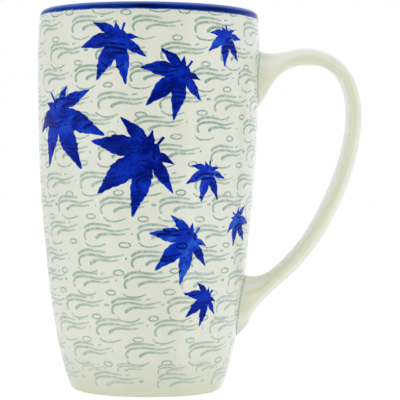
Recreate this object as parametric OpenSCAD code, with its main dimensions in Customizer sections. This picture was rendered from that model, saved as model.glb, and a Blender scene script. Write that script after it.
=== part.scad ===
// Tall stoneware latte mug with a strap handle, glazed inside and out.
// Origin: centre of the foot ring, on the plane the mug stands on. +Z up, handle toward +X.
// Millimetres throughout.

/* [Cup] */
// Height over the finished lip
cup_h = 145; // [135:0.5:155]
// Outer diameter of the clay at the lip
lip_d = 83.3; // [78:0.1:88]
// Outer diameter of the clay just above the foot
foot_d = 57.8; // [52:0.2:62]
// Thickness of the clay wall, which is also the lip's
wall_t = 3.8; // [3:0.1:4.4]
// Height of the clay floor inside, above the resting plane
floor_h = 6.4; // [5.5:0.1:9]
// How far the wall swings out of the foot before it turns upward
low_swell = 12.2; // [9:0.2:14]
// How far the wall bulges past the lip below the rim
high_swell = 2.4; // [0:0.1:3]

/* [Foot] */
// Width of the bare ring that the mug stands on
foot_ring_w = 3.4; // [2.5:0.1:5]
// Depth of the recess under the floor
recess_h = 1.8; // [1:0.1:2.5]
// Height of the rounded edge outside the foot ring
foot_edge_h = 1.2; // [0.8:0.1:1.6]

/* [Handle] */
// Distance from the mug's axis to the outside of the handle
handle_reach = 81.8; // [78:0.2:86]
// Height of the handle's crest
handle_top = 131.2; // [126:0.2:134]
// Height at which the handle reaches furthest out
bow_z = 105; // [98:0.5:108]
// Thickness of the strap at the bow
strap_t = 5.7; // [5:0.1:8]
// Thickness of the strap at the crest
crest_t = 6; // [5.5:0.1:8.5]
// Width of the strap, front to back
strap_w = 14.5; // [11:0.5:18]
// Extra width where the strap is pressed onto the wall
joint_flare = 4; // [0:0.5:6]

/* [Coats] */
// Thickness of the glaze
glaze_t = 0.3; // [0.2:0.05:0.5]
// Thickness of the slip that joins the handle to the wall
slip_t = 0.6; // [0.4:0.05:1]
// Height of the blue band outside, measured down from the lip
band_out_h = 2.6; // [2.4:0.1:6]
// Height of the blue band inside, measured down from the lip
band_in_h = 4; // [3:0.1:8]

/* [Hidden] */

clay_colour = "#d9cdb8";
glaze_colour = "#e2e3d6";
slip_colour = "#b9bca6";
band_colour = "#27427f";

// Lip: a half circle whose centre is lip_r inside the wall's top
lip_r = wall_t / 2;
lip_z = cup_h - glaze_t - lip_r;
lip_mid = lip_d / 2 - lip_r;

// The wall is one cubic curve from the foot edge up to the lip; the two pulls are
// the heights over which it leaves the foot and arrives at the lip
low_pull_h = 27.4;
high_pull = 7.5;
wall_curve = [
    [foot_d / 2, foot_edge_h],
    [foot_d / 2 + low_swell, low_pull_h],
    [lip_d / 2 + high_swell, lip_z - high_pull],
    [lip_d / 2, lip_z]
];
wall_steps = 22;
lip_steps = 10;
corner_steps = 8;
edge_steps = 5;
joint_low_z = foot_edge_h + 0.4; // lowest height at which a joint is looked for

// Foot ring, measured on the resting plane
foot_edge_w = 2;
ring_out = foot_d / 2 - foot_edge_w;
ring_in = ring_out - foot_ring_w;
recess_slope = 0.8;
recess_edge = 0.6;

// Inside corner between wall and floor: its height, its width, and how far the curve
// keeps the wall's and the floor's direction
corner_h = 8;
corner_w = 13;
corner_lean = 2.4;
corner_low = 2;
corner_flat = 5;

// Handle outlines in the XZ plane: four cubic curves each, sharing their end points.
// They run from the upper joint round to the lower one, and both ends lie inside the wall.
crest_x = 61;
elbow = [54.5, 43.7];
elbow_in = [54.4, 52.6];
upper_end_x = 38;
lower_end_x = 31;
outer_line = [
    [upper_end_x, handle_top + 0.6], [upper_end_x + 10.4, handle_top - 5],
    [crest_x - 9, handle_top], [crest_x, handle_top],
    [crest_x + 10, handle_top], [handle_reach, bow_z + 18.4],
    [handle_reach, bow_z], [handle_reach, bow_z - 22],
    elbow + [14, 12.3], elbow, elbow - [24, 21.4],
    [lower_end_x + 16, 30.5], [lower_end_x, 18]
];
bow_in = handle_reach - strap_t;
crest_in = handle_top - crest_t;
inner_line = [
    [upper_end_x + 2, handle_top - 24.4], [upper_end_x + 9.8, handle_top - 17.8],
    [upper_end_x + 9, crest_in], [crest_x + 1, crest_in],
    [crest_x + 12, crest_in], [bow_in, bow_z + 10.2],
    [bow_in, bow_z], [bow_in, bow_z - 16.6],
    elbow_in + [10.1, 10.8], elbow_in, elbow_in - [9.6, 10.2],
    [lower_end_x + 12.2, 42.1], [lower_end_x, 45.1]
];
curve_rings = 14;
rings = 4 * curve_rings;
root_rings = 10;
sides = 24;
// Power that squares the ring off: 1 is an ellipse, less is nearer a rectangle
squareness = 0.86;
// How many curves from each end the strap takes to narrow to its full length's width
flare_span = 1.2;

// Point on a cubic curve with control points p, at t from 0 to 1
function cubic(p, t) =
    pow(1 - t, 3) * p[0] + 3 * t * pow(1 - t, 2) * p[1] + 3 * t * t * (1 - t) * p[2] + pow(t, 3) * p[3];

// Point on a chain of cubic curves, at u counted in curves
function chain(line, u) =
    let (k = min(floor(u), (len(line) - 1) / 3 - 1))
    cubic([for (i = [0:3]) line[3 * k + i]], u - k);

// Parameter at which the wall's curve reaches height z, by halving
function wall_t_at(z, lo = 0, hi = 1, n = 24) =
    let (mid = (lo + hi) / 2)
    n == 0 ? mid
    : cubic(wall_curve, mid)[1] < z ? wall_t_at(z, mid, hi, n - 1)
    : wall_t_at(z, lo, mid, n - 1);

// Points up the wall between two heights, moved outward by grow
function wall_points(z0, z1, grow, steps = wall_steps) =
    let (a = wall_t_at(z0), b = wall_t_at(z1))
    [for (i = [0:steps]) cubic(wall_curve, a + (b - a) * i / steps) + [grow, 0]];

// Points over the lip, from outside to inside, on a half circle grown by grow
function lip_points(grow) =
    [for (i = [1:lip_steps - 1])
        let (a = 180 * i / lip_steps)
        [lip_mid + (lip_r + grow) * cos(a), lip_z + (lip_r + grow) * sin(a)]];

// Points down the inside of the cup, from height z1 to the floor and the axis;
// grow is the thickness of what lies on the clay
function inner_points(z1, grow) =
    let (corner_z = floor_h + corner_h,
         wall = wall_points(corner_z, z1, -wall_t - grow),
         top = wall[0],
         low = [top[0] - corner_w, floor_h + grow],
         corner = [top, [top[0] - corner_lean, low[1] + corner_low], low + [corner_flat, 0], low])
    concat(
        reversed(wall),
        [for (i = [1:corner_steps]) cubic(corner, i / corner_steps)],
        [[0, low[1]]]);

function reversed(list) = [for (i = [len(list) - 1:-1:0]) list[i]];

// Rounded outer edge of the foot ring, from the resting plane up to the wall's curve
edge_curve = [
    [ring_out, 0],
    [ring_out + foot_edge_w / 2, 0],
    [foot_d / 2 - foot_edge_h / 3, foot_edge_h / 2],
    [foot_d / 2, foot_edge_h]
];
foot_edge = [for (i = [0:edge_steps]) cubic(edge_curve, i / edge_steps)];

// The glaze stops part of the way round that edge, at this share of its curve
glaze_end = 0.6;

// Points from the glaze's lower end up to the wall, moved outward by grow
function glazed_edge(grow) =
    [for (i = [0:2])
        let (t = glaze_end + (0.94 - glaze_end) * i / 2,
             way = cubic(edge_curve, t + 0.01) - cubic(edge_curve, t - 0.01))
        cubic(edge_curve, t) + grow * [way[1], -way[0]] / norm(way)];

// The cup filled solid, grown outward by grow; it trims whatever meets the wall
module wall_filled(grow) {
    rotate_extrude($fn = 128)
        polygon(concat([[0, foot_edge_h]], wall_points(foot_edge_h, lip_z, grow), [[0, lip_z]]));
}

// Thin layer on the outside of the wall, from radius grow0 to grow1 beyond the clay
module wall_layer(z0, z1, grow0, grow1) {
    rotate_extrude($fn = 128)
        polygon(concat(wall_points(z0, z1, grow1), reversed(wall_points(z0, z1, grow0))));
}

// Half the width of the strap at u, widest at both joints
function half_width(u) =
    let (upper = max(0, 1 - u / flare_span), lower = max(0, 1 - (4 - u) / flare_span))
    (strap_w + joint_flare * (pow(upper, 2) + pow(lower, 2))) / 2;

// One closed ring of the strap at u: a rounded rectangle between the two outlines
function ring_points(u, grow) =
    let (o = chain(outer_line, u), i = chain(inner_line, u),
         mid = (o + i) / 2, half = (o - i) / 2,
         along = half * (1 + grow / norm(half)), w = half_width(u) + grow)
    [for (k = [0:sides - 1])
        let (a = 360 * k / sides,
             c = sign(cos(a)) * pow(abs(cos(a)), squareness),
             s = sign(sin(a)) * pow(abs(sin(a)), squareness))
        [mid[0] + along[0] * c, w * s, mid[1] + along[1] * c]];

function strap_points(r0, r1, grow) =
    [for (r = [r0:r1]) each ring_points(r / curve_rings, grow)];

// Faces that join ring after ring; first is the index of the first point
function side_faces(count, first, outward) =
    [for (r = [0:count - 2], k = [0:sides - 1])
        let (a = first + r * sides + k,
             b = first + r * sides + (k + 1) % sides,
             quad = [a, b, b + sides, a + sides])
        outward ? quad : reversed(quad)];

// The strap between rings r0 and r1, grown by grow all round
module strap(r0, r1, grow) {
    count = r1 - r0 + 1;
    last = (count - 1) * sides;
    polyhedron(
        points = strap_points(r0, r1, grow),
        faces = concat(
            [[for (k = [sides - 1:-1:0]) k]],
            [[for (k = [0:sides - 1]) last + k]],
            side_faces(count, 0, true)),
        convexity = 4);
}

// A tube of wall thickness t that fits the strap like a sleeve
module strap_sleeve(t) {
    count = rings + 1;
    inner = count * sides;
    last = (count - 1) * sides;
    polyhedron(
        points = concat(strap_points(0, rings, t), strap_points(0, rings, 0)),
        faces = concat(
            side_faces(count, 0, true),
            side_faces(count, inner, false),
            [for (k = [0:sides - 1]) let (n = (k + 1) % sides) [k, inner + k, inner + n, n]],
            [for (k = [0:sides - 1]) let (n = (k + 1) % sides)
                [last + n, inner + last + n, inner + last + k, last + k]]),
        convexity = 6);
}

module mug_body() {
    color(clay_colour)
        rotate_extrude($fn = 128)
            polygon(concat(
                [[0, recess_h], [ring_in - recess_slope, recess_h], [ring_in, 0]],
                foot_edge,
                [for (i = [1:wall_steps]) cubic(wall_curve, i / wall_steps)],
                lip_points(0),
                inner_points(lip_z, 0)));
}

module handle() {
    color(glaze_colour)
        difference() {
            strap(0, rings, 0);
            wall_filled(slip_t);
        }
}

module upper_slip_joint() {
    color(slip_colour)
        intersection() {
            strap(0, root_rings, 0);
            wall_layer(cup_h / 2, lip_z, 0, slip_t);
        }
}

module lower_slip_joint() {
    color(slip_colour)
        intersection() {
            strap(rings - root_rings, rings, 0);
            wall_layer(joint_low_z, cup_h / 2, 0, slip_t);
        }
}

module outer_glaze() {
    color(glaze_colour)
        difference() {
            rotate_extrude($fn = 128)
                polygon(concat(
                    glazed_edge(glaze_t),
                    wall_points(foot_edge_h, cup_h - band_out_h, glaze_t),
                    reversed(wall_points(foot_edge_h, cup_h - band_out_h, 0)),
                    reversed(glazed_edge(0))));
            strap(0, root_rings, 0);
            strap(rings - root_rings, rings, 0);
        }
}

module liner_glaze() {
    color(glaze_colour)
        rotate_extrude($fn = 128)
            polygon(concat(
                inner_points(cup_h - band_in_h, glaze_t),
                reversed(inner_points(cup_h - band_in_h, 0))));
}

module rim_band() {
    color(band_colour)
        rotate_extrude($fn = 128)
            polygon(concat(
                wall_points(cup_h - band_out_h, lip_z, glaze_t, 2),
                lip_points(glaze_t),
                reversed(wall_points(cup_h - band_in_h, lip_z, -wall_t - glaze_t, 2)),
                wall_points(cup_h - band_in_h, lip_z, -wall_t, 2),
                reversed(lip_points(0)),
                reversed(wall_points(cup_h - band_out_h, lip_z, 0, 2))));
}

module handle_glaze() {
    color(glaze_colour)
        difference() {
            strap_sleeve(glaze_t);
            wall_filled(glaze_t);
        }
}

module base_recess_glaze() {
    color(glaze_colour)
        translate([0, 0, recess_h - glaze_t])
            cylinder(r = ring_in - recess_slope - recess_edge, h = glaze_t, $fn = 128);
}

mug_body();
handle();
upper_slip_joint();
lower_slip_joint();
outer_glaze();
liner_glaze();
rim_band();
handle_glaze();
base_recess_glaze();
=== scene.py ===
"""Tall stoneware mug: cream glaze stamped with rows of grey-green waves, and cobalt maple leaves.

Every length is in millimetres until a mesh is made. An azimuth is counted from the mug's front (-Y)
and grows toward the handle (+X); angles are in degrees in the tables and in radians in the meshes.
"""

import math

import bpy
import numpy as np
from mathutils import Matrix, Vector


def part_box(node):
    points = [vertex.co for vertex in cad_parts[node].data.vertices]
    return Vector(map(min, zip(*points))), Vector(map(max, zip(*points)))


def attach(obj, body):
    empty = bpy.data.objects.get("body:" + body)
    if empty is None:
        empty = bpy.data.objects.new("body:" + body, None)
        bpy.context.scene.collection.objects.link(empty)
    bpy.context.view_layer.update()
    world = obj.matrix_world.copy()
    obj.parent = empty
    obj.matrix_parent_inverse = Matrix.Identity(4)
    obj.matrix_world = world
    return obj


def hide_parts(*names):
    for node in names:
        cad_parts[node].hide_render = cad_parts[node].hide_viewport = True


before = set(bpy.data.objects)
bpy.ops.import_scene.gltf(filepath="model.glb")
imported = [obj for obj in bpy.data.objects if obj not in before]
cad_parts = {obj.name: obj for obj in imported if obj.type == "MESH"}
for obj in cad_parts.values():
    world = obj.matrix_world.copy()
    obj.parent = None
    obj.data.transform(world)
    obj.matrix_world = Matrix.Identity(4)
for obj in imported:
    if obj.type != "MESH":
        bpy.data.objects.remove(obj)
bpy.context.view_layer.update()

MM = 0.001
rng = np.random.default_rng(12)


def corners(node):
    """Lowest and highest corner of a CAD node, in millimetres."""
    low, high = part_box(node)
    return np.array(low) / MM, np.array(high) / MM


# Sizes of the cup, from the CAD model's boxes where a box gives them
CUP_H = corners("rim_band")[1][2]
GLAZE_T = 0.3
WALL_T = 3.8
LIP_R = WALL_T / 2
LIP_Z = CUP_H - GLAZE_T - LIP_R
MOUTH_R = 41.65
LIP_MID = MOUTH_R - LIP_R
FOOT_R = 28.9
FOOT_EDGE_H = 1.2
FOOT_EDGE_W = 2
RING_OUT = FOOT_R - FOOT_EDGE_W
RING_IN = RING_OUT - 3.4
RECESS_H = 1.8
RECESS_SLOPE = 0.8
FLOOR_H = 6.4
CORNER_H = 8
CORNER_W = 13
GLAZE_END = 0.6                 # share of the foot's rounded edge that the glaze leaves bare
BAND_OUT_Z = corners("outer_glaze")[1][2]
BAND_IN_Z = corners("liner_glaze")[1][2]
BAND_STRAY = 0.76               # how far the brush strayed below the band's level edge
BAND_FRAY = 0.35                # room below that for the edge to fray
BAND_FOOT_Z = BAND_OUT_Z - BAND_STRAY - BAND_FRAY
WALL_CURVE = [(FOOT_R, FOOT_EDGE_H), (41.1, 27.4), (44.05, LIP_Z - 7.5), (MOUTH_R, LIP_Z)]

# How far the hand-thrown wall lies inside its true radius: a little everywhere, and more where it
# is out of round, where the waist sways from the handle and between the throwing rings
WALL_ROOM = 0.05
OUT_OF_ROUND = 0.08
WAIST_SWAY = 0.35
WAIST_Z = 62
WAIST_SPREAD = 38
THROWING_RINGS = 0.02

# The handle: two outlines of four cubic curves each, from the upper joint round to the lower one
REACH = corners("handle")[1][0]
CREST_Z = corners("handle")[1][2]
CREST_X = 61
BOW_Z = 105
STRAP_W = 14.5
JOINT_FLARE = 4
FLARE_SPAN = 1.2                # how many curves from a joint the strap flares
SQUARENESS = 0.86
OUTER_LINE = [
    (38, CREST_Z + 0.6), (48.4, CREST_Z - 5), (CREST_X - 9, CREST_Z), (CREST_X, CREST_Z),
    (CREST_X + 10, CREST_Z), (REACH, BOW_Z + 18.4), (REACH, BOW_Z), (REACH, BOW_Z - 22),
    (68.5, 56), (54.5, 43.7), (30.5, 22.3), (47, 30.5), (31, 18)]
BOW_IN = REACH - 5.7
CREST_IN = CREST_Z - 6
INNER_LINE = [
    (40, CREST_Z - 24.4), (47.8, CREST_Z - 17.8), (47, CREST_IN), (CREST_X + 1, CREST_IN),
    (CREST_X + 12, CREST_IN), (BOW_IN, BOW_Z + 10.2), (BOW_IN, BOW_Z), (BOW_IN, BOW_Z - 16.6),
    (64.5, 63.4), (54.4, 52.6), (44.8, 42.4), (43.2, 42.1), (31, 45.1)]
CURVES = 4
JOINT_LOW = corners("lower_slip_joint")[0][2]
BEAD_REACH = 0.55
BEAD_SUNK = 0.02

SEGMENTS = 384
EDGE_POINTS = 16
STRAP_SIDES = 96
STRAP_RINGS = 240

# Rows of wave marks: height of the marks' start, marks in the row, azimuth of the first. The
# narrow foot takes one row of small marks between two full ones.
WAVE_ROWS = [
    (147, 12, -2), (137.7, 11, -8), (128, 11, 8), (119.3, 12, -7), (109.8, 12, 6), (101.4, 11, -6),
    (91.2, 12, 5), (80.8, 12, -5), (72, 12, 7), (62.4, 12, -3), (52.6, 11, -7), (44.4, 11, -11),
    (35.5, 11, 14), (27.2, 10, 6), (18.4, 9, -11), (7.5, 8, 9)]
SMALL_ROW = (11.4, 13, 9.4)
SMALL_SIZE = 0.6

# Maple leaves: azimuth and height of the middle, length and direction of the middle lobe, and tone
# from 0, navy, to 1, bright
LEAVES = [
    (-12.5, 132.1, 18.5, 240, 0.55), (19.1, 119.4, 18.8, 221, 0.35), (-50.6, 106.9, 26, 298, 0.6),
    (2.9, 90.4, 25.7, 217, 0.2), (43.8, 134.1, 12.4, 265, 0.8), (34.8, 84.2, 12.5, 255, 0.65),
    (58, 66.6, 12.4, 312, 0.7), (25.8, 59.1, 18.4, 220, 0.75), (38.8, 37.4, 12.2, 219, 0.4),
    (168, 128, 19, 236, 0.5), (-158, 113, 24, 294, 0.35), (-126, 131, 12.5, 262, 0.7),
    (-108, 92, 18, 228, 0.6), (157, 92, 12, 275, 0.65), (-172, 74, 20, 222, 0.3),
    (-129, 62, 12, 250, 0.7), (164, 50, 13, 283, 0.55), (-152, 36, 12.5, 218, 0.45)]

# Lobes of a leaf: turn from the middle lobe; length and sideways bow as shares of the leaf's size;
# and how much fuller than usual the lobe is
LOBES = [
    (0, 1, -0.035, 0.98), (37, 0.96, -0.01, 0.86), (83, 0.67, -0.012, 0.84), (117, 0.38, 0.01, 0.96),
    (-47, 0.9, -0.022, 0.98), (-86, 0.66, -0.025, 0.9), (-132, 0.32, 0.02, 1.17)]
# Half the width of a lobe along its length, both as shares of that length
LOBE_HALF = [(0, 0.03), (0.15, 0.078), (0.3, 0.128), (0.45, 0.155), (0.6, 0.142), (0.74, 0.09),
             (0.85, 0.052), (0.94, 0.032), (1, 0.012)]
LEAF_HEART = 0.14               # least distance from a leaf's middle to its edge, as a share of its size

# How high a leaf's film lies on the glaze: its top, its edge and its underside
LEAF_LIFT = 0.04
LEAF_EDGE_LIFT = -0.01
LEAF_SINK = -0.05


# ---- Curves and the cup's surface ----

def cubic(points, t):
    """Points on a cubic curve, for an array t from 0 to 1."""
    p = np.asarray(points, float)
    t = np.asarray(t, float)[..., None]
    s = 1 - t
    return s**3 * p[0] + 3 * s * s * t * p[1] + 3 * s * t * t * p[2] + t**3 * p[3]


def smooth_path(points, spacing):
    """Points about spacing apart on a smooth curve through the given points (Catmull-Rom)."""
    p = np.asarray(points, float)
    p = np.vstack([2 * p[0] - p[1], p, 2 * p[-1] - p[-2]])
    spans = []
    for a, b, c, d in zip(p, p[1:], p[2:], p[3:]):
        handles = [b, b + (c - a) / 6, c - (d - b) / 6, c]
        spans.append(cubic(handles, np.linspace(0, 1, 24, endpoint=False)))
    line = np.vstack(spans + [p[-2:-1]])
    length = np.concatenate([[0], np.cumsum(np.hypot(*np.diff(line, axis=0).T))])
    count = max(7, int(length[-1] / spacing))
    # Stations crowd a little toward both ends, where a stroke is rounded off
    even = np.linspace(0, 1, count)
    at = length[-1] * (even - 0.09 * np.sin(2 * math.pi * even))
    return np.column_stack([np.interp(at, length, line[:, 0]), np.interp(at, length, line[:, 1])])


wall_line = cubic(WALL_CURVE, np.linspace(0, 1, 1600))
wall_rise = np.gradient(wall_line[:, 1]) / np.hypot(*np.gradient(wall_line, axis=0).T)


def wall_radius(z):
    """Outer radius of the clay at height z."""
    return np.interp(z, wall_line[:, 1], wall_line[:, 0])


def rise(z):
    """Height gained for each millimetre walked up the wall at height z."""
    return np.interp(z, wall_line[:, 1], wall_rise)


def hand_wobble(azimuth, z):
    """How far the hand-thrown wall lies inside its true radius."""
    oval = 0.5 + 0.5 * np.sin(2 * azimuth + z / 40)
    sway = np.exp(-((z - WAIST_Z) / WAIST_SPREAD) ** 2) * np.sin(azimuth)
    rings = 0.5 + 0.5 * np.sin(z / 1.7 + 1.5 * np.sin(azimuth + z / 23))
    return WALL_ROOM + OUT_OF_ROUND * oval + WAIST_SWAY * sway + THROWING_RINGS * rings


def bend(points):
    """Moves points of the cup inward by the wobble, less and less toward the axis and the foot."""
    full_radius, full_height = 30, 3
    x, y, z = points.T
    radius = np.hypot(x, y)
    azimuth = np.arctan2(x, -y)
    share = np.clip(radius / full_radius, 0, 1) * np.clip(z / full_height, 0, 1)
    scale = 1 - share * hand_wobble(azimuth, z) / np.maximum(radius, 1)
    return np.column_stack([x * scale, y * scale, z])


def on_wall(azimuth, z, lift):
    """Points on the glazed wall, at azimuths in radians, lifted off the glaze."""
    radius = wall_radius(z) + GLAZE_T + lift
    return bend(np.column_stack([radius * np.sin(azimuth), -radius * np.cos(azimuth), z]))


# ---- Meshes ----

def grid_faces(rows, columns, wrap_rows=False):
    """Quads of a grid of points given row after row, whose rows are closed loops."""
    r, c = np.meshgrid(np.arange(rows if wrap_rows else rows - 1), np.arange(columns), indexing="ij")
    r, c = r.ravel(), c.ravel()
    r_next, c_next = (r + 1) % rows, (c + 1) % columns
    quads = [r * columns + c, r * columns + c_next, r_next * columns + c_next, r_next * columns + c]
    return np.stack(quads, 1).tolist()


def volume(points, faces):
    """Signed volume inside the faces, positive when they face outward."""
    corners_of = [(f[0], f[i], f[i + 1]) for f in faces for i in range(1, len(f) - 1)]
    a, b, c = (points - points.mean(0))[np.array(corners_of)].transpose(1, 0, 2)
    return np.einsum("ij,ij->i", a, np.cross(b, c)).sum() / 6


class Piece:
    """One mesh piece, made of closed parts, with values at its points for the shader to read."""

    def __init__(self, name):
        self.name = name
        self.points = []
        self.faces = []
        self.values = {}
        self.count = 0

    def add(self, points, faces, **values):
        """Adds one closed part and turns its faces outward."""
        if volume(points, faces) < 0:
            faces = [face[::-1] for face in faces]
        self.faces.extend([i + self.count for i in face] for face in faces)
        self.points.append(points)
        for name, value in values.items():
            self.values.setdefault(name, []).append(np.broadcast_to(value, len(points)))
        self.count += len(points)

    def make(self, material, replaced=()):
        """Makes the Blender object and puts it on the mug's one body."""
        mesh = bpy.data.meshes.new(self.name)
        mesh.from_pydata((np.vstack(self.points) * MM).tolist(), [], self.faces)
        for name, parts in self.values.items():
            attribute = mesh.attributes.new(name, "FLOAT", "POINT")
            attribute.data.foreach_set("value", np.concatenate(parts).astype(np.float32))
        mesh.shade_smooth()
        mesh.materials.append(material)
        piece = bpy.data.objects.new(self.name, mesh)
        bpy.context.scene.collection.objects.link(piece)
        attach(piece, "root")
        if replaced:
            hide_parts(*replaced)
        return piece


def turned(outline):
    """Points and faces of a solid turned from an outline that starts and ends on the axis, or of a
    ring turned from a closed outline that stays off it."""
    outline = np.asarray(outline, float)
    solid = outline[0][0] == 0
    body = outline[1:-1] if solid else outline
    angle = np.linspace(0, 2 * math.pi, SEGMENTS, endpoint=False)
    radius, z = body[:, :1], body[:, 1:]
    rings = np.stack([radius * np.sin(angle), -radius * np.cos(angle), z + 0 * angle], 2)
    points = rings.reshape(-1, 3)
    faces = grid_faces(len(body), SEGMENTS, wrap_rows=not solid)
    if solid:
        first, last = len(points), len(points) + 1
        top = (len(body) - 1) * SEGMENTS
        points = np.vstack([points, [[0, 0, outline[0][1]], [0, 0, outline[-1][1]]]])
        for k in range(SEGMENTS):
            following = (k + 1) % SEGMENTS
            faces.append([first, following, k])
            faces.append([last, top + k, top + following])
    return bend(points), faces


# ---- Outlines of the cup and its coats ----

def wall_points(z0, z1, grow, step=0.8):
    """Outline points up the wall between two heights, moved outward by grow."""
    z = np.linspace(z0, z1, max(2, int(abs(z1 - z0) / step)))
    return np.column_stack([wall_radius(z) + grow, z])


def lip_points(grow, count=28):
    """Outline points over the lip, from outside to inside, without its two ends."""
    angle = np.linspace(0, math.pi, count)[1:-1]
    radius = LIP_R + grow
    return np.column_stack([LIP_MID + radius * np.cos(angle), LIP_Z + radius * np.sin(angle)])


def inner_points(z1, grow):
    """Outline points down the inside of the cup, from height z1 to the axis."""
    wall = wall_points(FLOOR_H + CORNER_H, z1, -WALL_T - grow)
    top = wall[0]
    floor_z = FLOOR_H + grow
    low = np.array([top[0] - CORNER_W, floor_z])
    corner = cubic([top, top + [-2.4, floor_z + 2 - top[1]], low + [5, 0], low], np.linspace(0, 1, 26))
    floor = np.column_stack([np.linspace(low[0], 1, 20)[1:], np.full(19, floor_z)])
    return np.vstack([wall[::-1], corner[1:], floor, [[0, floor_z]]])


def foot_edge(start, grow):
    """Outline points round the outside of the foot ring, from a share of its curve up to the wall."""
    curve = [(RING_OUT, 0), (RING_OUT + FOOT_EDGE_W / 2, 0), (FOOT_R - FOOT_EDGE_H / 3, FOOT_EDGE_H / 2),
             (FOOT_R, FOOT_EDGE_H)]
    points = cubic(curve, np.linspace(start, 1, EDGE_POINTS))
    way = np.gradient(points, axis=0)
    way /= np.linalg.norm(way, axis=1, keepdims=True)
    return points + grow * np.column_stack([way[:, 1], -way[:, 0]])


def stoneware_body():
    """The thrown and turned clay, which stays bare only on the ring it stands on."""
    ring_edge = 0.35
    recess = [(0, RECESS_H), (1, RECESS_H), (RING_IN - RECESS_SLOPE, RECESS_H),
              (RING_IN - ring_edge, ring_edge), (RING_IN - ring_edge / 3, ring_edge / 5), (RING_IN + 0.2, 0)]
    outline = np.vstack([recess, foot_edge(0, 0), wall_points(FOOT_EDGE_H, LIP_Z, 0)[1:],
                         lip_points(0), inner_points(LIP_Z, 0)])
    piece = Piece("stoneware_body")
    piece.add(*turned(outline))
    piece.make(bare_stoneware(), ["mug_body"])


def brushed_edge(azimuth):
    """Height of the rim band's lower edge."""
    return BAND_OUT_Z - BAND_STRAY * (1 + np.sin(azimuth)) / 2


def outer_glaze(material):
    """The cream glaze outside, down round the foot's edge, where it thins out."""
    wall, clay = wall_points(FOOT_EDGE_H, BAND_FOOT_Z, GLAZE_T), wall_points(FOOT_EDGE_H, BAND_FOOT_Z, 0)
    thin = np.sqrt(np.linspace(0.02, 1, EDGE_POINTS - 1))[:, None]
    edge = foot_edge(GLAZE_END, 0)[:-1]
    outside = edge + thin * (foot_edge(GLAZE_END, GLAZE_T)[:-1] - edge)
    piece = Piece("outer_glaze_coat")
    piece.add(*turned(np.vstack([outside, wall[1:], clay[::-1], edge[::-1]])))
    piece.make(material, ["outer_glaze"])


def liner_glaze(material):
    """The cream glaze inside the cup."""
    outline = np.vstack([inner_points(BAND_IN_Z, 0)[::-1], inner_points(BAND_IN_Z, GLAZE_T)])
    piece = Piece("liner_glaze_coat")
    piece.add(*turned(outline))
    piece.make(material, ["liner_glaze"])


def rim_band():
    """The cobalt band over the lip, whose brushed lower edge strays down toward the handle."""
    fine = 0.12
    outside = wall_points(BAND_FOOT_Z, LIP_Z, GLAZE_T, fine)
    inside = wall_points(BAND_IN_Z, LIP_Z, -WALL_T - GLAZE_T, fine)[::-1]
    under_in = wall_points(BAND_IN_Z, LIP_Z, -WALL_T)
    under_out = wall_points(BAND_FOOT_Z, LIP_Z, 0)[::-1]
    outline = np.vstack([outside, lip_points(GLAZE_T, 48), inside, under_in, lip_points(0)[::-1], under_out])
    points, faces = turned(outline)
    azimuth = np.arctan2(points[:, 0], -points[:, 1])
    piece = Piece("rim_band_coat")
    # side: how far round toward either side of the mug a point lies, which the band's shader uses for
    # painted light
    piece.add(points, faces, above=points[:, 2] - brushed_edge(azimuth), side=np.abs(np.sin(azimuth)))
    piece.make(cobalt_band(), ["rim_band"])


def base_recess_glaze(material):
    """The glaze wiped into the recess under the floor."""
    low, high = corners("base_recess_glaze")
    radius, soft = high[0], 0.25
    outline = [(0, low[2]), (1, low[2]), (radius - soft, low[2]), (radius, low[2] + soft),
               (radius, high[2]), (1, high[2]), (0, high[2])]
    piece = Piece("base_recess_coat")
    piece.add(*turned(outline))
    piece.make(material, ["base_recess_glaze"])


# ---- The handle ----

def chain(line, u):
    """Points on a chain of cubic curves, at u counted in curves."""
    line = np.asarray(line, float)
    whole = np.clip(np.floor(u).astype(int), 0, CURVES - 1)
    points = np.zeros(u.shape + (2,))
    for k in range(CURVES):
        here = whole == k
        points[here] = cubic(line[3 * k:3 * k + 4], (u - k)[here])
    return points


def strap_points(u, angle, grow):
    """Points of the strap's surface, grown by grow, at u along it and an angle round it."""
    u, angle = np.broadcast_arrays(u, angle)
    outer, inner = chain(OUTER_LINE, u), chain(INNER_LINE, u)
    half = (outer - inner) / 2
    half = half * (1 + grow / np.linalg.norm(half, axis=-1, keepdims=True))
    middle = (outer + inner) / 2
    upper = np.clip(1 - u / FLARE_SPAN, 0, 1)
    lower = np.clip(1 - (CURVES - u) / FLARE_SPAN, 0, 1)
    width = (STRAP_W + JOINT_FLARE * (upper**2 + lower**2)) / 2 + grow
    across = np.sign(np.cos(angle)) * np.abs(np.cos(angle)) ** SQUARENESS
    aside = np.sign(np.sin(angle)) * np.abs(np.sin(angle)) ** SQUARENESS
    return np.stack([middle[..., 0] + half[..., 0] * across, width * aside,
                     middle[..., 1] + half[..., 1] * across], -1)


def outside_wall(points):
    """How far points lie outside the glazed wall."""
    x, y, z = points[..., 0], points[..., 1], points[..., 2]
    return np.hypot(x, y) - wall_radius(z) - GLAZE_T + hand_wobble(np.arctan2(x, -y), z)


def strap_ends(angle, grow):
    """Where each line along the strap leaves the glazed wall and where it meets it again."""
    u = np.linspace(0, 1, 1500)[:, None]
    starts = []
    for at in (u, CURVES - u):
        gap = outside_wall(strap_points(at, angle, grow))
        k = len(u) - 1 - np.argmax(gap[::-1] < 0, axis=0)
        column = np.arange(len(angle))
        share = gap[k, column] / (gap[k, column] - gap[k + 1, column])
        starts.append(at[k, 0] + share * (at[k + 1, 0] - at[k, 0]))
    return starts


strap_angle = np.linspace(0, 2 * math.pi, STRAP_SIDES, endpoint=False)


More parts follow.
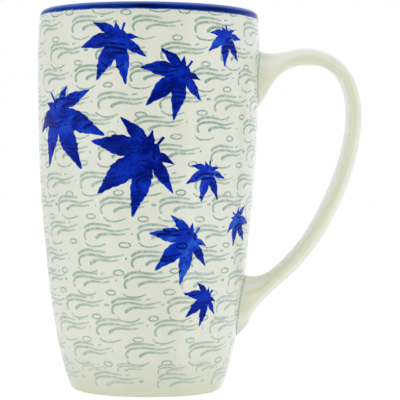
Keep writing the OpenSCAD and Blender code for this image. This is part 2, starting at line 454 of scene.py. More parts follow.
def strap_grid(grow, sink=0.0):
    """Rings of points from joint to joint, whose first and last lie sink inside the glazed wall."""
    first, last = strap_ends(strap_angle, grow)
    share = np.linspace(0, 1, STRAP_RINGS)[:, None]
    grid = strap_points(first + share * (last - first), strap_angle, grow)
    if sink:
        for ring in (0, -1):
            flat = grid[ring] * [1, 1, 0]
            grid[ring] -= sink * flat / np.linalg.norm(flat, axis=1, keepdims=True)
    return grid


def handle_clay():
    """The pulled clay strap under its glaze."""
    grid = strap_grid(0, sink=0.2)
    points = grid.reshape(-1, 3)
    faces = grid_faces(STRAP_RINGS, STRAP_SIDES)
    for ring, way in ((0, -1), (STRAP_RINGS - 1, 1)):
        start = ring * STRAP_SIDES
        for k in range(STRAP_SIDES):
            faces.append([len(points), start + k, start + (k + 1) % STRAP_SIDES][::way])
        points = np.vstack([points, grid[ring].mean(0)])
    piece = Piece("handle_clay")
    piece.add(points, faces)
    piece.make(bare_stoneware(), ["handle"])


def handle_glaze():
    """The glaze on the strap, a sleeve whose ends meet the wall, with its place along and across."""
    outer, inner = strap_grid(GLAZE_T), strap_grid(0)
    loop = np.concatenate([outer, inner[::-1]])
    faces = grid_faces(2 * STRAP_RINGS, STRAP_SIDES, wrap_rows=True)
    share = np.linspace(0, 1, STRAP_RINGS)
    along = np.repeat(np.concatenate([share, share[::-1]]), STRAP_SIDES)
    across = np.tile(0.5 + 0.5 * np.cos(strap_angle), 2 * STRAP_RINGS)
    aside = np.tile(0.5 + 0.5 * np.sin(strap_angle), 2 * STRAP_RINGS)
    piece = Piece("handle_glaze_coat")
    piece.add(loop.reshape(-1, 3), faces, along=along, across=across, aside=aside)
    piece.make(streaked_glaze(), ["handle_glaze"])


def joint_bead(name, end, node):
    """Slip smoothed into the corner where the strap meets the wall, all round one joint."""
    grid = strap_grid(GLAZE_T)
    ring, following = (grid[0], grid[3]) if end == 0 else (grid[-1], grid[-4])
    up_strap = following - ring
    up_strap /= np.linalg.norm(up_strap, axis=1, keepdims=True)
    out = ring * [1, 1, 0]
    out /= np.linalg.norm(out, axis=1, keepdims=True)
    ring_way = np.roll(ring, -1, 0) - np.roll(ring, 1, 0)
    away = np.cross(ring_way, out)
    away /= np.linalg.norm(away, axis=1, keepdims=True)
    away *= np.sign(np.sum(away * (ring - ring.mean(0)), axis=1, keepdims=True))
    foot = ring + BEAD_REACH * away
    azimuth = np.arctan2(foot[:, 0], -foot[:, 1])
    foot = on_wall(azimuth, foot[:, 2], -BEAD_SUNK)
    top = ring + BEAD_REACH * up_strap - BEAD_SUNK * out
    corner = ring + 0.12 * BEAD_REACH * (away + up_strap)
    under = ring - 0.35 * out - 0.2 * away
    t = np.linspace(0, 1, 9)[:, None, None]
    curve = (1 - t) ** 2 * foot + 2 * t * (1 - t) * corner + t * t * top
    loop = np.concatenate([curve, under[None]])
    strength = np.repeat(np.append(np.sin(math.pi * np.linspace(0, 1, 9)), 0), STRAP_SIDES)
    piece = Piece(name)
    piece.add(loop.reshape(-1, 3), grid_faces(len(loop), STRAP_SIDES, wrap_rows=True), ink=strength)
    piece.make(joint_slip(), [node])


# ---- Decoration ----

class Outline:
    """A shape on the wall given by its distance from a middle point, in every direction."""

    def __init__(self, azimuth, z, angles, reach):
        self.azimuth = math.radians(azimuth)
        self.z = z
        self.angles = angles
        self.reach = reach

    def place(self, x, y):
        """Azimuth and height of the points x to the right of the middle and y up the wall."""
        return self.azimuth + x / (wall_radius(self.z) + GLAZE_T), self.z + y * rise(self.z)

    def covers(self, azimuth, z, margin=0.0):
        """Which points on the wall lie inside the shape."""
        turn = (azimuth - self.azimuth + math.pi) % (2 * math.pi) - math.pi
        x = turn * (wall_radius(self.z) + GLAZE_T)
        y = (z - self.z) / rise(self.z)
        reach = np.interp(np.arctan2(y, x), self.angles, self.reach, period=2 * math.pi)
        return np.hypot(x, y) < reach + margin


def lobe_outline(length, size, bow, fullness, teeth):
    """One lobe of a leaf along +X: a pointed blade with scalloped teeth, its middle line bowed."""
    profile = smooth_path(LOBE_HALF, 0.01)
    t = np.linspace(0.02, 1, 64)
    half = fullness * np.interp(t, profile[:, 0], profile[:, 1])
    scallop = 0.02 * np.sqrt(np.abs(np.sin(teeth * math.pi * t))) * np.sin(math.pi * t) ** 0.5
    middle = bow * size * np.sin(math.pi * t)
    upper = np.column_stack([t * length, middle + (half + scallop) * length])
    lower = np.column_stack([t * length, middle - (half + scallop) * length])
    return np.vstack([upper, lower[::-1]])


def turned_by(points, degrees):
    """Points in the plane turned anticlockwise about the origin."""
    c, s = math.cos(math.radians(degrees)), math.sin(math.radians(degrees))
    return points @ np.array([[c, s], [-s, c]])


def furthest_edge(angles, loops):
    """Distance from the origin to the furthest edge of any loop, in each direction."""
    reach = np.zeros(len(angles))
    dx, dy = np.cos(angles)[:, None], np.sin(angles)[:, None]
    for loop in loops:
        ax, ay = loop.T
        ex, ey = (np.roll(loop, -1, 0) - loop).T
        cross = dx * ey - dy * ex
        cross = np.where(np.abs(cross) < 1e-12, 1e-12, cross)
        r = (ax * ey - ay * ex) / cross
        s = (ax * dy - ay * dx) / cross
        hit = np.where((s >= 0) & (s <= 1) & (r > 0), r, 0)
        reach = np.maximum(reach, hit.max(1))
    return reach


def leaf_outline(azimuth, z, size, direction):
    """Outline of one maple leaf: seven toothed lobes and a short stem."""
    teeth = max(4, round(size / 3.2))
    loops = [turned_by(lobe_outline(share * size, size, bow, fullness, teeth * share), direction + turn)
             for turn, share, bow, fullness in LOBES]
    half_w, stem_l = 0.3 + 0.01 * size, 0.29 * size
    stem_side = np.array([(0, half_w * 0.8), (stem_l * 0.97, half_w), (stem_l, half_w * 0.7)])
    stem = np.vstack([stem_side, stem_side[::-1] * (1, -1)])
    loops.append(turned_by(stem, direction - 168))
    corners_at = np.concatenate([np.arctan2(loop[:, 1], loop[:, 0]) for loop in loops])
    angles = np.unique(np.round(np.concatenate([corners_at, np.linspace(-math.pi, math.pi, 200)[:-1]]), 3))
    reach = np.maximum(furthest_edge(angles, loops), LEAF_HEART * size)
    return Outline(azimuth, z, angles, reach)


def leaf_piece(number, leaf, tone, direction, material):
    """One leaf as a film of cobalt on the glaze, thinner at its edge."""
    span = leaf.reach.max()
    top_shares = np.linspace(0.04, 1, max(8, int(span / 1.5)))
    under_shares = np.linspace(1, 0.04, max(4, int(span / 4)))[1:]
    shares = np.concatenate([top_shares, under_shares])
    lift = np.concatenate([np.full(len(top_shares), LEAF_LIFT), np.full(len(under_shares), LEAF_SINK)])
    lift[len(top_shares) - 1] = LEAF_EDGE_LIFT
    ink = np.where(lift > 0, 1.0, 0.0)
    x = shares[:, None] * leaf.reach * np.cos(leaf.angles)
    y = shares[:, None] * leaf.reach * np.sin(leaf.angles)
    azimuth, z = leaf.place(x.ravel(), y.ravel())
    columns = len(leaf.angles)
    points = on_wall(azimuth, z, np.repeat(lift, columns))
    faces = grid_faces(len(shares), columns)
    last = (len(shares) - 1) * columns
    for k in range(columns):
        following = (k + 1) % columns
        faces.append([len(points), following, k])
        faces.append([len(points) + 1, last + k, last + following])
    middle = np.array([leaf.azimuth] * 2), np.array([leaf.z] * 2)
    points = np.vstack([points, on_wall(*middle, np.array([LEAF_LIFT, LEAF_SINK]))])
    # Each lobe takes the colour a little differently
    shade = np.zeros(columns)
    for turn, *_ in LOBES:
        offset = (leaf.angles - math.radians(direction + turn) + math.pi) % (2 * math.pi) - math.pi
        shade += rng.uniform(-0.5, 0.2) * np.exp(-(offset / 0.3) ** 2)
    tones = np.concatenate([(tone + shares[:, None] * shade).ravel(), [tone, tone]])
    piece = Piece(f"maple_leaf_{number:02d}")
    piece.add(points, faces, ink=np.concatenate([np.repeat(ink, columns), [1, 0]]), tone=tones)
    piece.make(material)


def root_outline(end):
    """Outline of a handle joint on the wall, which the marks stay clear of."""
    ring = strap_grid(GLAZE_T)[end]
    azimuth, z = np.arctan2(ring[:, 0], -ring[:, 1]), ring[:, 2]
    middle_azimuth, middle_z = math.pi / 2, (z.min() + z.max()) / 2
    x = (azimuth - middle_azimuth) * (wall_radius(middle_z) + GLAZE_T)
    y = (z - middle_z) / rise(middle_z)
    angles = np.arctan2(y, x)
    order = np.argsort(angles)
    return Outline(90, middle_z, angles[order], np.hypot(x, y)[order])


# A stroke's film: places across it in half widths, how high it lies on the glaze there, and its ink
ACROSS = np.array([-1.55, -0.65, 0, 0.65, 1.55])
LIFTS = np.array([-0.02, 0.015, 0.025, 0.015, -0.02])
INKS = np.array([0, 0.9, 1, 0.9, 0])
COLUMNS = len(ACROSS)
OVER_LEAF = 0.045               # how much higher it lies on a leaf

# How far marks run onto the band, and how far they keep off the foot's edge and the handle's joints
BAND_LAP = 0.1
FOOT_GAP = 1.5
JOINT_GAP = 0.8


class Stamper:
    """Presses strokes onto the wall, cut where the band, the foot or a handle joint begins."""

    def __init__(self, leaves, roots):
        self.leaves = leaves
        self.roots = roots

    def hidden(self, azimuth, z):
        """Which points of a stroke are left out."""
        out = (z > brushed_edge(azimuth) + BAND_LAP) | (z < FOOT_EDGE_H + FOOT_GAP)
        for root in self.roots:
            out |= root.covers(azimuth, z, JOINT_GAP)
        return out

    def stroke(self, piece, path, half_width, strength, place, closed=False):
        """Adds one film along a path in the stamp's own plane; place puts it on the wall."""
        if closed:
            way = np.roll(path, -1, 0) - np.roll(path, 1, 0)
        else:
            way = np.gradient(path, axis=0)
        way /= np.linalg.norm(way, axis=1, keepdims=True)
        normal = np.column_stack([-way[:, 1], way[:, 0]])
        spread = path[:, None] + normal[:, None] * (half_width[:, None] * ACROSS)[..., None]
        azimuth, z = place(spread[..., 0], spread[..., 1])
        hidden = self.hidden(azimuth[:, COLUMNS // 2], z[:, COLUMNS // 2])
        # A stroke shows through a leaf where its whole width lies on the leaf
        leafy = np.zeros(len(path), bool)
        for leaf in self.leaves:
            leafy |= leaf.covers(azimuth, z, -0.1).all(axis=1)
        lift = LIFTS + OVER_LEAF * leafy[:, None]
        points = on_wall(azimuth.ravel(), z.ravel(), lift.ravel()).reshape(-1, COLUMNS, 3)
        ink = strength[:, None] * INKS
        leafy = np.repeat(leafy[:, None], COLUMNS, 1).astype(float)
        if closed and not hidden.any():
            piece.add(points.reshape(-1, 3), grid_faces(len(path), COLUMNS, wrap_rows=True),
                      ink=ink.ravel(), over_leaf=leafy.ravel())
            return
        if closed:
            turn = -int(np.argmax(hidden))
            points, ink, leafy, hidden = (np.roll(a, turn, 0) for a in (points, ink, leafy, hidden))
        edges = np.flatnonzero(np.diff(np.concatenate([[1], hidden, [1]])))
        for start, stop in zip(edges[::2], edges[1::2]):
            if stop - start < 3:
                continue
            faces = grid_faces(stop - start, COLUMNS)
            corner_count = (stop - start) * COLUMNS
            faces.append(list(range(COLUMNS))[::-1])
            faces.append(list(range(corner_count - COLUMNS, corner_count)))
            piece.add(points[start:stop].reshape(-1, 3), faces,
                      ink=ink[start:stop].ravel(), over_leaf=leafy[start:stop].ravel())


# Strokes of the wave stamp: points of the middle line, right of and above the mark's start, then
# the width at the stroke's start, middle and end
CREST = [(0, 0), (0.9, 0.85), (2.6, 1.65), (4.5, 1.9), (7.5, 1.8), (11.4, 1.35)]
CREST_TAIL = [(12.8, 1.45), (14.6, 1.8)]
BACK = [(0.9, -3.9), (0.35, -2.9), (0.3, -1.9), (0.9, -0.9), (2.3, -0.15), (5, 0.3), (8, 0.2), (12, -0.35),
        (15, -0.05), (18.3, 0.75)]
TONGUE = [(5.1, -3.2), (6.3, -2.25), (8.3, -1.5), (10.8, -1.4), (13.5, -1.7), (16.5, -1.25)]
SMILE = [(0, -4.8), (1.2, -5.9), (2.8, -6.4), (4.6, -6.5), (6.6, -6.2), (8.6, -5.4)]
STROKES = [(CREST, (1.1, 1.05, 0.75)), (CREST_TAIL, (0.7, 0.65, 0.45)), (BACK, (0.85, 1.05, 0.55)),
           (TONGUE, (1.5, 1, 0.55))]
SMILE_WIDTHS = (0.5, 0.66, 0.5)
RING_AT = (15.6, -5.5)
RING_HALF = (1.95, 0.85)
RING_WIDTH = 0.6
RING_POINTS = 28
DOT_AT = (19.1, -0.9)


def half_widths(path, widths):
    """Half of a stroke's width at each point, rounded off at both ends."""
    t = np.linspace(0, 1, len(path))
    half = np.interp(t, [0, 0.45, 1], widths) / 2
    length = np.concatenate([[0], np.cumsum(np.hypot(*np.diff(path, axis=0).T))])
    to_end = np.minimum(length, length[-1] - length) / np.maximum(half, 0.1)
    return half * np.sqrt(1 - (1 - np.clip(to_end, 0.02, 1)) ** 2)


def wave_mark(piece, stamper, azimuth, z, full_size, waves, smile):
    """One press of the wave stamp, or of a part of it, a little turned, shifted and unevenly stamped with
    ink, and painted paler on the mug's two sides as painted light.
    """
    radius = wall_radius(min(z, LIP_Z)) + GLAZE_T
    slope = rise(min(z, LIP_Z))
    turn = math.radians(rng.normal(0, 1.2))
    size = full_size * rng.uniform(0.97, 1.04)
    # The stain took more weakly toward the foot; on the two sides the marks are also painted paler, as
    # painted light where the glaze mirrors the bright room
    ink_and_side_light = rng.uniform(0.84, 1) * np.interp(z, [15, 45, 125], [0.7, 0.86, 1])
    ink_and_side_light *= 1 - 0.13 * abs(math.sin(azimuth))

    def place(x, y):
        across = size * (x * math.cos(turn) - y * math.sin(turn))
        up = size * (x * math.sin(turn) + y * math.cos(turn))
        return azimuth + across / radius, z + up * slope

    def draw(points, widths, fade=0.35):
        loose = np.asarray(points, float) + rng.normal(0, 0.07, (len(points), 2))
        path = smooth_path(loose, 0.42)
        strength = ink_and_side_light * (1 - fade * np.linspace(0, 1, len(path)) ** 1.5)
        stamper.stroke(piece, path, half_widths(path, widths), strength, place)

    if waves:
        for points, widths in STROKES:
            if points is CREST_TAIL and rng.random() < 0.15:
                continue
            draw(points, widths)
        dot = np.array(DOT_AT) + rng.normal(0, 0.35, 2)
        long = rng.choice([0.25, 0.3, 0.9])
        draw([dot - (long, 0), dot + (long, rng.uniform(-0.4, 0.3))], (1, 1.05, 1), 0)
    if not smile:
        return
    shift = np.array([rng.uniform(-1.2, 2.8), rng.normal(0, 0.15)])
    draw(np.array(SMILE) + shift, SMILE_WIDTHS, 0.1)
    angle = np.linspace(0, 2 * math.pi, RING_POINTS, endpoint=False)
    middle = np.array(RING_AT) + (rng.normal(0, 0.6), rng.normal(0, 0.15))
    half = np.array(RING_HALF) * (rng.uniform(0.85, 1.1), rng.uniform(0.95, 1.15))
    ring = middle + half * np.column_stack([np.cos(angle), np.sin(angle)])
    ring += rng.normal(0, 0.05, ring.shape)
    half_width, strength = np.full(RING_POINTS, RING_WIDTH / 2), np.full(RING_POINTS, ink_and_side_light)
    stamper.stroke(piece, ring, half_width, strength, place, closed=True)


def wave_row(number, stamper, row, material, size=1.0):
    """One row of wave marks round the mug. Of a row that starts above the lip only the smiles and
    rings reach the wall; small marks and those at the foot have none."""
    z, count, first = row
    piece = Piece(f"wave_marks_row_{number:02d}")
    for k in range(count):
        azimuth = math.radians(first + 360 * k / count + rng.normal(0, 0.7))
        wave_mark(piece, stamper, azimuth, z + rng.normal(0, 0.2), size, waves=z < LIP_Z,
                  smile=z > 10 and size == 1)
    piece.make(material)


# ---- Materials ----

def colour(red, green, blue):
    """Linear colour with alpha, from the red, green and blue that a screen shows, 0 to 255."""
    values = [c / 255 for c in (red, green, blue)]
    return [c / 12.92 if c < 0.04045 else ((c + 0.055) / 1.055) ** 2.4 for c in values] + [1]


class NodeTree:
    """The nodes of a material or of the world, with short calls for those that are used here."""

    def __init__(self, owner):
        owner.use_nodes = True
        self.nodes = owner.node_tree.nodes
        self.links = owner.node_tree.links

    def put(self, value, socket):
        """Gives a socket a constant, or another node's output."""
        if isinstance(value, bpy.types.NodeSocket):
            self.links.new(value, socket)
        else:
            socket.default_value = value

    def parts(self, vector):
        """The X, Y and Z of a vector."""
        node = self.nodes.new("ShaderNodeSeparateXYZ")
        self.links.new(vector, node.inputs[0])
        return node.outputs

    def ramp(self, value, low, high, start=0.0, end=1.0):
        """The value eased from start to end as it goes from low to high."""
        node = self.nodes.new("ShaderNodeMapRange")
        node.interpolation_type = "SMOOTHSTEP"
        for socket, setting in (("From Min", low), ("From Max", high), ("To Min", start), ("To Max", end)):
            node.inputs[socket].default_value = setting
        self.links.new(value, node.inputs["Value"])
        return node.outputs["Result"]

    def math(self, operation, a, b=0.0):
        """One step of arithmetic, on one or two numbers."""
        node = self.nodes.new("ShaderNodeMath")
        node.operation = operation
        self.put(a, node.inputs[0])
        self.put(b, node.inputs[1])
        return node.outputs[0]

    def pick(self, switch, off, on):
        """The number off or on, as the switch says."""
        node = self.nodes.new("ShaderNodeMix")
        for value, socket in ((switch, 0), (off, 2), (on, 3)):
            self.put(value, node.inputs[socket])
        return node.outputs[0]

    def mix(self, share, a, b):
        """Colour a changing to colour b as the share goes from 0 to 1."""
        node = self.nodes.new("ShaderNodeMix")
        node.data_type = "RGBA"
        for value, socket in ((share, 0), (a, 6), (b, 7)):
            self.put(value, node.inputs[socket])
        return node.outputs[2]


class Shader(NodeTree):
    """A new material with a Principled shader."""

    def __init__(self, name, **sockets):
        self.material = bpy.data.materials.new(name)
        super().__init__(self.material)
        self.surface = self.nodes["Principled BSDF"]
        for socket, value in sockets.items():
            self.surface.inputs[socket.replace("_", " ")].default_value = value
        self.place = self.nodes.new("ShaderNodeTexCoord").outputs["Object"]

    def stretched(self, scale):
        """The place on the object, stretched along its axes."""
        node = self.nodes.new("ShaderNodeMapping")
        node.inputs["Scale"].default_value = scale
        self.links.new(self.place, node.inputs["Vector"])
        return node.outputs["Vector"]

    def noise(self, size, detail=2.0, place=None):
        """Noise from 0 to 1 whose features are about size millimetres across."""
        node = self.nodes.new("ShaderNodeTexNoise")
        node.inputs["Scale"].default_value = 1 / (size * MM)
        node.inputs["Detail"].default_value = detail
        self.links.new(place or self.place, node.inputs["Vector"])
        return node.outputs["Fac"]

    def value(self, name):
        """A value stored at the mesh's points."""
        node = self.nodes.new("ShaderNodeAttribute")
        node.attribute_name = name
        return node.outputs["Fac"]

    def height(self):
        """Height above the plane the mug stands on, in metres."""
        return self.parts(self.place)["Z"]

    def bump(self, height, depth):
        """Bumps of the given depth in millimetres."""
        node = self.nodes.new("ShaderNodeBump")
        node.inputs["Distance"].default_value = depth * MM
        self.links.new(height, node.inputs["Height"])
        self.links.new(node.outputs["Normal"], self.surface.inputs["Normal"])

    def shine(self, share):
        """Changes the reflection from plain glaze to cobalt as the share goes from 0 to 1."""
        level = self.ramp(share, 0, 1, GLAZE_GLOSS, COBALT_GLOSS)
        self.links.new(level, self.surface.inputs["Specular IOR Level"])

    def finish(self, base, roughness=None):
        """The finished material, with its base colour and roughness."""
        self.links.new(base, self.surface.inputs["Base Color"])
        if roughness is not None:
            self.links.new(roughness, self.surface.inputs["Roughness"])
        return self.material


CREAM = colour(219, 221, 206)
CREAM_WARM = colour(215, 216, 197)
# darker cream, used as painted shade near the foot
CREAM_FOOT = colour(204, 207, 184)
CREAM_PALE = colour(226, 230, 222)
TAN = colour(204, 200, 172)
MARK = colour(64, 120, 110)
MARK_GREEN = colour(64, 118, 86)
MARK_PALE = colour(120, 160, 146)
NAVY = colour(3, 9, 60)
COBALT = colour(10, 46, 172)
COBALT_DEEP = colour(2, 18, 114)
COBALT_BRIGHT = colour(40, 92, 198)
BAND_DEEP = colour(1, 7, 66)
BAND_BLUE = colour(14, 46, 142)
# painted highlight along the top of the lip
BAND_LIP_HIGHLIGHT = colour(92, 124, 200)
BAND_FRINGE = colour(66, 114, 186)
GLAZE_GLOSS = 0.5
COBALT_GLOSS = 0.05
STREAK = colour(215, 213, 178)
STREAK_SPAN = 12                # the strap counts as this long, wide and thick for its streaks
# paler cream: pooled glaze on the strap, and painted light on its shaded inner edge and near the wall
GLAZE_POOLED_AND_LIT = colour(243, 245, 238)
CLAY = colour(210, 208, 188)
GRIT = colour(120, 104, 84)
FLOOR_DARK = (0.86, 0.86, 0.86, 1)
FLOOR_LIGHT = (0.9, 0.9, 0.9, 1)
WHITE = (1, 1, 1, 1)
COOL_WHITE = (0.97, 0.99, 1.12, 1)


def cream(shader):
    """The glaze's own colour: cream, warmer where it lies thin and paler where it pools."""
    cloud = shader.ramp(shader.noise(22), 0.3, 0.7, 0, 0.7)
    fine = shader.ramp(shader.noise(1.6, detail=3), 0.55, 0.75, 0, 0.35)
    base = shader.mix(cloud, CREAM, CREAM_WARM)
    return shader.mix(fine, base, CREAM_PALE)


def gloss(shader):
    """Roughness of the glaze, and its very shallow dimples."""
    shader.bump(shader.noise(5, detail=2), 0.012)
    return shader.ramp(shader.noise(12), 0.3, 0.7, 0.1, 0.17)


def cream_glaze():
    """Cream glaze on the cup, with fine specks, painted shade darkening it toward the foot, and thin at its
    very edge.
    """
    shader = Shader("cream_glaze")
    height = shader.height()
    thin = shader.ramp(height, 0.3 * MM, 0.9 * MM, 0.8, 0)
    uneven = shader.math("MULTIPLY", thin, shader.ramp(shader.noise(7), 0.3, 0.7, 0.5, 1.2))
    specks = shader.ramp(shader.noise(0.9, detail=1), 0.79, 0.83, 0, 0.5)
    # Painted shade: over the lowest 20 mm the glaze is mixed toward a darker cream, standing in for the
    # shade near the floor
    low = shader.ramp(height, 2 * MM, 20 * MM, 0.75, 0)
    base = shader.mix(low, cream(shader), CREAM_FOOT)
    base = shader.mix(uneven, base, TAN)
    return shader.finish(shader.mix(specks, base, CLAY), gloss(shader))


def stamp_ink():
    """Grey-green stain that took unevenly along each stroke, and turns navy where a leaf lies under it."""
    shader = Shader("stamp_ink")
    ink, over = shader.value("ink"), shader.ramp(shader.value("over_leaf"), 0.15, 0.32)
    patchy = shader.ramp(shader.noise(1.5, detail=3), 0.25, 0.6, 0.45, 1)
    amount = shader.math("MULTIPLY", ink, patchy)
    stain = shader.mix(shader.ramp(shader.height(), 90 * MM, 140 * MM), MARK, MARK_GREEN)
    green = shader.mix(shader.noise(5), stain, MARK_PALE)
    on_cream = shader.mix(amount, cream(shader), green)
    on_leaf = shader.mix(shader.ramp(amount, 0.05, 0.75, 0.1, 0.85), COBALT, NAVY)
    shader.shine(over)
    return shader.finish(shader.mix(over, on_cream, on_leaf), gloss(shader))


def cobalt_leaf():
    """Cobalt brushed through a leaf-shaped stencil: denser in patches, brighter at the edge."""
    shader = Shader("cobalt_leaf", Specular_IOR_Level=COBALT_GLOSS)
    tone = shader.value("tone")
    patches = shader.ramp(shader.noise(6, detail=2), 0.3, 0.7, -0.32, 0.27)
    grain = shader.ramp(shader.noise(0.7, detail=2), 0.3, 0.7, -0.12, 0.12)
    level = shader.math("ADD", shader.math("ADD", tone, patches), grain)
    deep = shader.mix(shader.ramp(level, 0.0, 0.55), COBALT_DEEP, COBALT)
    base = shader.mix(shader.ramp(level, 0.55, 1.1), deep, COBALT_BRIGHT)
    edge = shader.mix(shader.value("ink"), COBALT_BRIGHT, base)
    return shader.finish(edge, gloss(shader))


def cobalt_band():
    """Cobalt brushed round the rim, with a painted highlight along the top of the lip, painted light
    that makes it paler on both sides of the mug, and a lower edge that feathers out into the cream."""
    shader = Shader("cobalt_band")
    uneven = shader.ramp(shader.noise(4, detail=2), 0.2, 0.8, -0.16, 0.16)
    ragged = shader.math("ADD", shader.value("above"), uneven)
    feather = shader.ramp(ragged, 0, 0.55)
    # Painted light: the band turns paler toward both sides of the mug, and its painted highlight reaches
    # lower there, standing in for the brighter reflections at the sides
    side = shader.value("side")
    highlight_height = shader.math("ADD", shader.height(), shader.math("MULTIPLY", side, 0.5 * MM))
    turns = shader.noise(9, place=shader.stretched((1, 1, 5)))
    patchy_and_side_lit = shader.math("ADD", shader.ramp(turns, 0.3, 0.7, -0.2, 0.8), shader.math("MULTIPLY", side, 0.5))
    blue = shader.mix(patchy_and_side_lit, BAND_DEEP, BAND_BLUE)
    # Painted highlight: paler blue along the top of the lip, where the lip mirrors the light above; the
    # cobalt lies thinner there too
    blue = shader.mix(shader.ramp(highlight_height, (CUP_H - 1.3) * MM, (CUP_H - 0.1) * MM), blue, BAND_LIP_HIGHLIGHT)
    blue = shader.mix(feather, BAND_FRINGE, blue)
    brushed = shader.ramp(ragged, -0.15, 0.15)
    shader.shine(brushed)
    return shader.finish(shader.mix(brushed, cream(shader), blue), gloss(shader))


def streaked_glaze():
    """Cream glaze on the pulled strap, with tan streaks along it where the glaze ran thin."""
    shader = Shader("streaked_glaze")
    along, across = shader.value("along"), shader.value("across")
    join = shader.nodes.new("ShaderNodeCombineXYZ")
    for value, axis in ((along, "X"), (across, "Y"), (shader.value("aside"), "Z")):
        shader.put(shader.math("MULTIPLY", value, STREAK_SPAN * MM), join.inputs[axis])
    streaks = shader.ramp(shader.noise(1.6, detail=3, place=join.outputs[0]), 0.3, 0.7, 0.4, 1)

    def patch(over_width, over_length):
        return shader.math("MULTIPLY", shader.ramp(across, *over_width), shader.ramp(along, *over_length))

    # Paler cream along the bow's inner edge, painted light on the side that faces the wall; paler on top of
    # the crest and toward the lower joint, partly pooled glaze and partly painted light that lifts the shade
    # near the wall
    inner = patch((0.02, 0.5, 0.95, 0.2), (0.3, 0.42))
    top = shader.math("MULTIPLY", patch((0.3, 0.65), (0.28, 0.44, 0.85, 0)),
                      shader.ramp(along, 0, 0.12, 0.35, 1))
    root = patch((0.3, 0.75, 0.6, 0), (0.7, 0.85))
    pooled_and_lit = shader.math("MAXIMUM", shader.math("MAXIMUM", inner, top), root)
    base = shader.mix(pooled_and_lit, cream(shader), GLAZE_POOLED_AND_LIT)
    # Thin glaze: streaks along the middle, the inner edge toward both joints, and the low outer edge
    middle = shader.math("MULTIPLY", patch((0.42, 0.8, 0.9, 0.15), (0.1, 0.35, 0.6, 1)),
                         shader.ramp(across, 0.12, 0.36))
    from_bow = shader.math("ABSOLUTE", shader.math("SUBTRACT", along, 0.55))
    edge = shader.math("MULTIPLY", shader.ramp(across, 0.1, 0.35, 1, 0),
                       shader.ramp(from_bow, 0.16, 0.32, 0, 0.6))
    shown = shader.math("MAXIMUM", middle, edge)
    base = shader.mix(shader.math("MULTIPLY", streaks, shown), base, STREAK)
    outer = patch((0.75, 0.95), (0.58, 0.75, 0, 0.8))
    return shader.finish(shader.mix(outer, base, CREAM_FOOT), gloss(shader))


def joint_slip():
    """Grey-green stain caught in the glaze that pooled along the joint."""
    shader = Shader("joint_slip")
    patchy = shader.ramp(shader.noise(3, detail=2), 0.2, 0.7, 0.5, 1)
    amount = shader.math("MULTIPLY", shader.value("ink"), patchy)
    stain = shader.mix(shader.ramp(shader.height(), JOINT_LOW * MM, (JOINT_LOW + 2.5) * MM), MARK, MARK_PALE)
    return shader.finish(shader.mix(amount, cream(shader), stain), gloss(shader))


def bare_stoneware():
    """Unglazed fired clay: sandy, matt, with fine grit."""
    shader = Shader("bare_stoneware", Roughness=0.85)
    grain = shader.noise(0.6, detail=4)
    base = shader.mix(shader.ramp(shader.noise(9), 0.3, 0.7), CLAY, TAN)
    grit = shader.ramp(grain, 0.62, 0.7, 0, 0.4)
    shader.bump(grain, 0.05)
    return shader.finish(shader.mix(grit, base, GRIT))


# ---- Studio ----

def pale_floor():
    """A wide round floor, pale and evenly lit."""
    radius, sides = 4000, 96
    angle = np.linspace(0, 2 * math.pi, sides, endpoint=False)
    ring = np.column_stack([radius * np.cos(angle), radius * np.sin(angle), np.full(sides, -0.05)])
    mesh = bpy.data.meshes.new("pale_floor")
    mesh.from_pydata((ring * MM).tolist(), [], [list(range(sides))])
    shader = Shader("pale_floor", Roughness=0.9, Emission_Color=WHITE, Emission_Strength=0.5)
    mesh.materials.append(shader.finish(shader.mix(shader.noise(300), FLOOR_DARK, FLOOR_LIGHT)))
    floor = bpy.data.objects.new("pale_floor", mesh)
    bpy.context.scene.collection.objects.link(floor)
    floor.visible_glossy = False


def white_room():
    """White surroundings that light the mug evenly; what the glaze mirrors dims toward the side where
    the photographer stands, as in a studio, and the background stays white."""
    world = bpy.data.worlds.new("white_room")
    bpy.context.scene.world = world
    room = NodeTree(world)
    background = room.nodes["Background"].inputs
    way = room.parts(room.nodes.new("ShaderNodeTexCoord").outputs["Generated"])
    rays = room.nodes.new("ShaderNodeLightPath").outputs

    back = room.ramp(way["Y"], -0.1, 0.6)
    right = room.ramp(way["X"], 0.58, 0.72)
    left = room.ramp(way["X"], -0.25, -0.8)
    level = room.math("MAXIMUM", back, room.math("MAXIMUM", right, left))
    level = room.math("MULTIPLY", level, room.ramp(way["X"], -0.6, 0.6, 0.88, 1.25))
    mirrored = room.math("MULTIPLY", level, room.ramp(way["Z"], -0.6, -0.1, 0.7, 1))
    soft = room.ramp(way["Z"], -0.2, 1, 0.57, 0.9)
    level = room.pick(rays["Is Glossy Ray"], soft, mirrored)
    room.put(room.pick(rays["Is Camera Ray"], level, 1.0), background["Strength"])

    sideways = room.math("ABSOLUTE", way["X"])
    cooler = room.pick(rays["Is Camera Ray"], room.ramp(sideways, 0.2, 1), 0.0)
    room.put(room.mix(cooler, WHITE, COOL_WHITE), background["Color"])


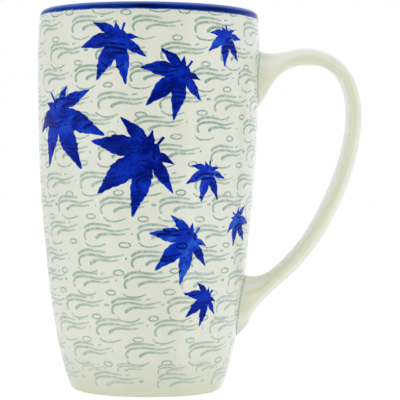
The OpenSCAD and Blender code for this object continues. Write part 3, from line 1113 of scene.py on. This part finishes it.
def softbox(name, azimuth, elevation, distance, size, power):
    """A square soft light aimed at the mug's middle."""
    light = bpy.data.lights.new(name, "AREA")
    light.size = size * MM
    light.energy = power
    lamp = bpy.data.objects.new(name, light)
    a, e = math.radians(azimuth), math.radians(elevation)
    way = Vector((math.sin(a) * math.cos(e), -math.cos(a) * math.cos(e), math.sin(e)))
    middle = Vector((0, 0, CUP_H / 2))
    lamp.location = (middle + way * distance) * MM
    lamp.rotation_euler = way.to_track_quat("Z", "Y").to_euler()
    bpy.context.scene.collection.objects.link(lamp)


def camera():
    """A long lens almost level with the middle of the mug, square on to the handle's plane."""
    across, distance = 20.05, 653.95
    eye_z, aim_z = 81.43, 72.77
    data = bpy.data.cameras.new("camera")
    data.sensor_width = 36
    data.lens = 152.7
    view = bpy.data.objects.new("camera", data)
    place = Vector((across, -distance, eye_z))
    target = Vector((across, 0, aim_z))
    aim = (place - target).to_track_quat("Z", "Y").to_matrix().to_4x4()
    roll = Matrix.Rotation(math.radians(0.45), 4, "Z")
    view.matrix_world = Matrix.Translation(place * MM) @ aim @ roll
    bpy.context.scene.collection.objects.link(view)
    bpy.context.scene.camera = view


# ---- The mug ----

def decorate():
    """Leaves first, then the rows of waves, which show through them."""
    leaves = [leaf_outline(azimuth, z, size, direction) for azimuth, z, size, direction, _ in LEAVES]
    leaf_material, ink_material = cobalt_leaf(), stamp_ink()
    for number, (leaf, (_, _, _, direction, tone)) in enumerate(zip(leaves, LEAVES), 1):
        leaf_piece(number, leaf, tone, direction, leaf_material)
    stamper = Stamper(leaves, [root_outline(0), root_outline(-1)])
    for number, row in enumerate(WAVE_ROWS):
        wave_row(number, stamper, row, ink_material)
    wave_row(len(WAVE_ROWS), stamper, SMALL_ROW, ink_material, SMALL_SIZE)


glaze = cream_glaze()
stoneware_body()
outer_glaze(glaze)
liner_glaze(glaze)
rim_band()
base_recess_glaze(glaze)
handle_clay()
handle_glaze()
joint_bead("upper_joint_bead", 0, "upper_slip_joint")
joint_bead("lower_joint_bead", -1, "lower_slip_joint")
decorate()

pale_floor()
white_room()
softbox("overhead", azimuth=0, elevation=62, distance=1400, size=1200, power=2.3)
camera()
bpy.context.scene.view_settings.view_transform = "Standard"
